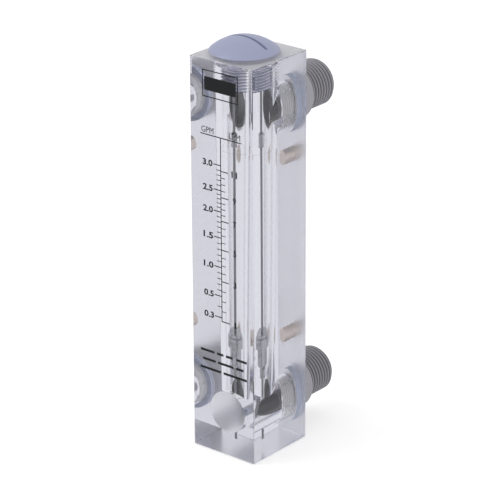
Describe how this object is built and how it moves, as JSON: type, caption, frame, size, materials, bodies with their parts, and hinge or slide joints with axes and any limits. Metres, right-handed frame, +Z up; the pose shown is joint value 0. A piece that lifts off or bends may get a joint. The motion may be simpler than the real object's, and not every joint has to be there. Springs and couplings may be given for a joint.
{
  "type": "rotameter",
  "caption": "Clear block flow meter: tapered tube with a float on a guide rod, domed screw plug, printed scale, rear male pipe fittings and brass panel inserts.",
  "frame": {"origin": "centre of the block's bottom face, on which the part stands", "axes": "+Z up along the flow tube, -Y out of the scale face, +Y out of the rear face with the fittings, +X to the right as the scale is read"},
  "size_m": [0.034, 0.0646, 0.1878],
  "materials": {
    "acrylic": "clear, machined and polished",
    "print_ink": "screen printed ink",
    "plug_plastic": "satin moulded",
    "clear_silicone": "translucent",
    "steel": "fine turned",
    "stop_nylon": "natural moulded",
    "fitting_plastic": "moulded",
    "blue_rubber": "smooth",
    "brass": "turned"
  },
  "bodies": {
    "body": {"body_block": "acrylic", "scale_print": "print_ink", "header_print": "print_ink", "guide_rod": "steel", "upper_float_stop": "stop_nylon", "lower_float_stop": "stop_nylon", "inlet_fitting": "fitting_plastic", "outlet_fitting": "fitting_plastic", "inlet_seal": "blue_rubber", "outlet_seal": "blue_rubber", "lower_insert": "brass", "upper_insert": "brass"},
    "float": {"float": "steel"},
    "plug_seal": {"plug_seal": "clear_silicone"},
    "top_plug": {"top_plug": "plug_plastic"}
  },
  "joints": [
    {"name": "float_lift", "type": "slide", "parent": "body", "child": "float", "axis": [0, 0, 1], "range_m": [0, 0.085]},
    {"name": "plug_rise", "type": "slide", "parent": "body", "child": "plug_seal", "axis": [0, 0, 1], "range_m": [0, 0.00946]},
    {"name": "plug_turn", "type": "hinge", "parent": "plug_seal", "child": "top_plug", "pos_m": [0, -0.0025, 0.18], "axis": [0, 0, 1], "range_deg": [0, 2520]}
  ],
  "couplings": [
    {"joint": "plug_rise", "follows": "plug_turn", "m_per_rad": 0.00021279}
  ]
}
